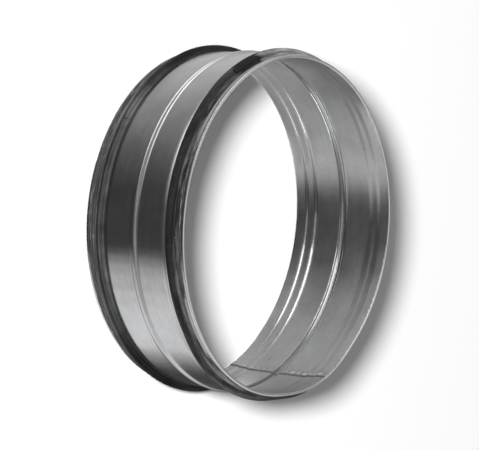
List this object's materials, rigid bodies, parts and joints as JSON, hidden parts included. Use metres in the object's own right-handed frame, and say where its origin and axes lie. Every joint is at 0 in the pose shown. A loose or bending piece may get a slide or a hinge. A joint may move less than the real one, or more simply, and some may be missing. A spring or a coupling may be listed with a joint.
{
  "type": "round duct connector",
  "caption": "Male connector for round ventilation ducts: a galvanised sheet steel ring with a stop bead and a double-lip rubber gasket at each end.",
  "frame": {"origin": "centre of the ring, on the plane of the lower rim", "axes": "+Z along the duct axis, from the lower rim to the upper one; -Y towards the camera in the picture"},
  "size_m": [0.258, 0.258, 0.089],
  "materials": {
    "galvanised_sheet": "bright zinc coating with faint rolling marks and smudges",
    "gasket_rubber": "black, satin, with a little grey dust"
  },
  "bodies": {
    "root": {"sleeve": "galvanised_sheet", "lower_gasket": "gasket_rubber", "upper_gasket": "gasket_rubber"}
  },
  "joints": []
}
